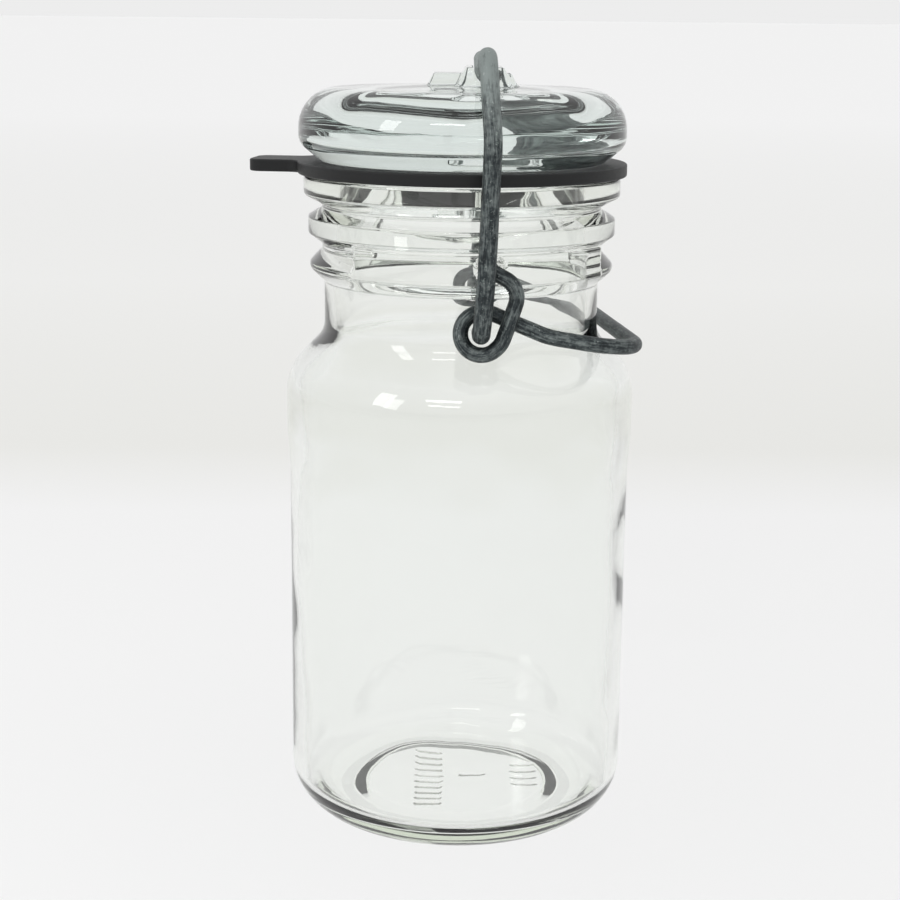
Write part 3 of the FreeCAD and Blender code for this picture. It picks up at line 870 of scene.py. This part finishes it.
def wire_piece(name, route, radius, settings, material):
    """A plain mesh of round wire along the route."""
    curve = bpy.data.curves.new(name + "_line", "CURVE")
    curve.dimensions = "3D"
    spline = curve.splines.new("POLY")
    spline.points.add(len(route) - 1)
    for point, place in zip(spline.points, route):
        point.co = (*place, 1.0)
    # The cut ends are slightly rounded off
    for index, share in ((0, 0.80), (1, 0.97), (-1, 0.80), (-2, 0.97)):
        spline.points[index].radius = share
    line = bpy.data.objects.new(name + "_line", curve)
    bpy.context.scene.collection.objects.link(line)
    modifier = line.modifiers.new("Wire", "NODES")
    modifier.node_group = wire_tree()
    values = {"Wire radius": radius, "Lumpiness": settings.lumpiness, "Sides": settings.sides,
              "Material": material}
    for item in modifier.node_group.interface.items_tree:
        if item.in_out == "INPUT" and item.name in values:
            modifier[item.identifier] = values[item.name]
    depsgraph = bpy.context.evaluated_depsgraph_get()
    mesh = bpy.data.meshes.new_from_object(line.evaluated_get(depsgraph), depsgraph=depsgraph)
    mesh.name = name
    if not mesh.materials:
        mesh.materials.append(material)
    bpy.data.objects.remove(line)
    piece = bpy.data.objects.new(name, mesh)
    bpy.context.scene.collection.objects.link(piece)
    return piece


# ---------------------------------------------------------------- stage

FLOOR_HALF = 40.0
# Metres behind the jar where the floor's painted shade and painted light change its tone, and where they have
# changed it in full
NEAR_TONE, BEHIND_TONE, MIDDLE_TONE, FLOOR_FADE = 0.27, 0.38, 0.9, 3.0
FLOOR_TURN = math.radians(-0.5)
ROOM_STRENGTH = 0.95
# Brightness of the room by height: behind the camera, and facing it
FRONT_TONES = ((0.0, 0.88), (0.08, 0.66), (0.15, 0.66), (0.24, 0.97), (1.0, 1.05))
BACK_TONES = ((0.0, 0.89), (1.0, 0.98))
# Each softbox in metres and watts: name, place, target, width, height, power
SOFTBOXES = (
    ("Overhead softbox", (0.1, 0.1, 1.1), (0, 0, 0.08), 1.2, 0.9, 0.6),
    ("Left window", (-0.75, -0.55, 0.55), (0, 0, 0.11), 0.20, 0.42, 1.3),
    ("Front window", (-0.22, -1.1, 0.85), (0, 0, 0.13), 0.5, 0.10, 1.2),
)


def make_floor(s):
    """A wide pale floor. Its tone changes softly behind the jar, as where a table meets a wall: a band of
    painted shade just behind the jar, then painted light further back.
    """
    material, tree = new_material("Matt white board with painted horizon shade")
    place = add_node(tree, "ShaderNodeTexCoord").outputs["Object"]
    turned = add_node(tree, "ShaderNodeMapping", {"Vector": place, "Rotation": (0, 0, FLOOR_TURN)})
    parts = add_node(tree, "ShaderNodeSeparateXYZ", {"Vector": turned.outputs["Vector"]})
    share = add_node(tree, "ShaderNodeMapRange", {
        "Value": parts.outputs["Y"], "From Min": 0.0, "From Max": FLOOR_FADE})
    middle = [(a + b) / 2 for a, b in zip(s.floor_behind_painted_shade, s.floor_far_painted_light)]
    # Painted shade in a band behind the jar, then painted light far behind it
    tone = ramp(tree, share.outputs["Result"], [
        (NEAR_TONE / FLOOR_FADE, s.floor), (BEHIND_TONE / FLOOR_FADE, s.floor_behind_painted_shade),
        (MIDDLE_TONE / FLOOR_FADE, middle), (1.0, s.floor_far_painted_light)])
    shader = add_node(tree, "ShaderNodeBsdfPrincipled", {"Base Color": tone, "Roughness": 0.9,
                                                         "Specular IOR Level": 0.1})
    add_node(tree, "ShaderNodeOutputMaterial", {"Surface": shader.outputs["BSDF"]})
    corners = [(x * FLOOR_HALF, y * FLOOR_HALF, 0) for x, y in ((-1, -1), (1, -1), (1, 1), (-1, 1))]
    smooth_mesh("studio_floor", corners, [(0, 1, 2, 3)], material)


def softbox(name, place, target, width, height, power):
    """A white rectangular light at a place, turned to face its target."""
    light = bpy.data.lights.new(name, "AREA")
    light.shape = "RECTANGLE"
    light.size, light.size_y = width, height
    light.energy = power
    lamp = bpy.data.objects.new(name, light)
    lamp.location = place
    lamp.rotation_mode = "QUATERNION"
    lamp.rotation_quaternion = (Vector(target) - Vector(place)).to_track_quat("-Z", "Y")
    bpy.context.scene.collection.objects.link(lamp)


def make_world():
    """An even white room that is a little darker low down, behind the camera."""
    world = bpy.data.worlds.new("White studio room")
    world.use_nodes = True
    tree = world.node_tree
    tree.nodes.clear()
    way = add_node(tree, "ShaderNodeTexCoord").outputs["Generated"]
    parts = add_node(tree, "ShaderNodeSeparateXYZ", {"Vector": way})
    high, back = [
        add_node(tree, "ShaderNodeMapRange", {"Value": parts.outputs[axis], "From Min": low, "From Max": top},
                 interpolation_type="SMOOTHSTEP").outputs["Result"]
        for axis, low, top in (("Z", -0.05, 0.75), ("Y", -0.8, 0.1))]
    front_tone, back_tone = [ramp(tree, high, [(place, grey(tone)) for place, tone in tones])
                             for tones in (FRONT_TONES, BACK_TONES)]
    mix = add_node(tree, "ShaderNodeMix", {"Factor": back, "A": front_tone, "B": back_tone},
                   data_type="RGBA")
    shine = add_node(tree, "ShaderNodeBackground", {"Color": mix.outputs["Result"],
                                                    "Strength": ROOM_STRENGTH})
    add_node(tree, "ShaderNodeOutputWorld", {"Surface": shine.outputs["Background"]})
    bpy.context.scene.world = world


def make_camera(s):
    """The camera, in front of the jar and looking a little down."""
    data = bpy.data.cameras.new("Camera")
    data.lens = s.lens
    camera = bpy.data.objects.new("Camera", data)
    bpy.context.scene.collection.objects.link(camera)
    side = s.camera_side
    camera.matrix_world = (
        Matrix.Translation((s.camera_distance * math.sin(side), -s.camera_distance * math.cos(side),
                            s.camera_height))
        @ Matrix.Rotation(side + s.camera_pan, 4, "Z")
        @ Matrix.Rotation(math.pi / 2 - s.camera_tilt, 4, "X")
        @ Matrix.Rotation(s.camera_roll, 4, "Z"))
    bpy.context.scene.camera = camera


# ---------------------------------------------------------------- operators

class PRESERVINGJAR_OT_body(bpy.types.Operator):
    """Build the pressed-glass jar body"""
    bl_idname = "preservingjar.body"
    bl_label = "Glass Body"

    def execute(self, context):
        make_jar_body(context.scene.preserving_jar_body)
        return {"FINISHED"}


class PRESERVINGJAR_OT_lid(bpy.types.Operator):
    """Build the pressed-glass lid"""
    bl_idname = "preservingjar.lid"
    bl_label = "Glass Lid"

    def execute(self, context):
        make_lid(context.scene.preserving_jar_lid)
        return {"FINISHED"}


class PRESERVINGJAR_OT_ring(bpy.types.Operator):
    """Give the rubber ring its moulded rubber"""
    bl_idname = "preservingjar.ring"
    bl_label = "Rubber Ring"

    def execute(self, context):
        rubber = moulded_rubber("Moulded black rubber", context.scene.preserving_jar_ring)
        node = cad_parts["gasket"]
        node.data.materials.clear()
        node.data.materials.append(rubber)
        return {"FINISHED"}


class PRESERVINGJAR_OT_clamp(bpy.types.Operator):
    """Build the bail and the lever from round wire"""
    bl_idname = "preservingjar.clamp"
    bl_label = "Wire Clamp"

    def execute(self, context):
        s = context.scene.preserving_jar_clamp
        bail = wire_piece("bail_wire_dipped", bail_route(), s.bail_wire_radius, s,
                          weathered_zinc("Weathered galvanised steel, bail", s, 0.0))
        placed(bail, "bail", "bail_wire")
        lever = wire_piece("lever_wire_dipped", lever_route(s), s.lever_wire_radius, s,
                           weathered_zinc("Weathered galvanised steel, lever", s, 0.37))
        placed(lever, "lever", "lever_wire")
        return {"FINISHED"}


class PRESERVINGJAR_OT_stage(bpy.types.Operator):
    """Lay the floor, light it and set up the camera"""
    bl_idname = "preservingjar.stage"
    bl_label = "Stage"

    def execute(self, context):
        s = context.scene.preserving_jar_stage
        context.scene.view_settings.view_transform = "Standard"
        make_floor(s)
        make_world()
        for box in SOFTBOXES:
            softbox(*box)
        make_camera(s)
        return {"FINISHED"}


class PRESERVINGJAR_PT_panel(bpy.types.Panel):
    """Lists the jar's pieces and their settings"""
    bl_idname = "PRESERVINGJAR_PT_panel"
    bl_label = "Preserving Jar"
    bl_space_type = "VIEW_3D"
    bl_region_type = "UI"
    bl_category = "Preserving Jar"

    def draw(self, context):
        layout = self.layout
        for operator, group in PIECES:
            box = layout.box()
            box.operator(operator)
            settings = getattr(context.scene, group)
            for name in settings.__annotations__:
                box.prop(settings, name)


PIECES = (
    ("preservingjar.body", "preserving_jar_body"),
    ("preservingjar.lid", "preserving_jar_lid"),
    ("preservingjar.ring", "preserving_jar_ring"),
    ("preservingjar.clamp", "preserving_jar_clamp"),
    ("preservingjar.stage", "preserving_jar_stage"),
)
GROUPS = (
    ("preserving_jar_body", JarBodySettings),
    ("preserving_jar_lid", LidSettings),
    ("preserving_jar_ring", RubberSettings),
    ("preserving_jar_clamp", ClampSettings),
    ("preserving_jar_stage", StageSettings),
)
CLASSES = tuple(group for _, group in GROUPS) + (
    PRESERVINGJAR_OT_body, PRESERVINGJAR_OT_lid, PRESERVINGJAR_OT_ring, PRESERVINGJAR_OT_clamp,
    PRESERVINGJAR_OT_stage, PRESERVINGJAR_PT_panel,
)


def register():
    for cls in CLASSES:
        bpy.utils.register_class(cls)
    for name, group in GROUPS:
        setattr(bpy.types.Scene, name, PointerProperty(type=group))


def unregister():
    for name, _ in GROUPS:
        delattr(bpy.types.Scene, name)
    for cls in reversed(CLASSES):
        bpy.utils.unregister_class(cls)


def main():
    register()
    bpy.ops.preservingjar.body()
    bpy.ops.preservingjar.lid()
    bpy.ops.preservingjar.ring()
    bpy.ops.preservingjar.clamp()
    bpy.ops.preservingjar.stage()


if __name__ == "__main__":
    main()
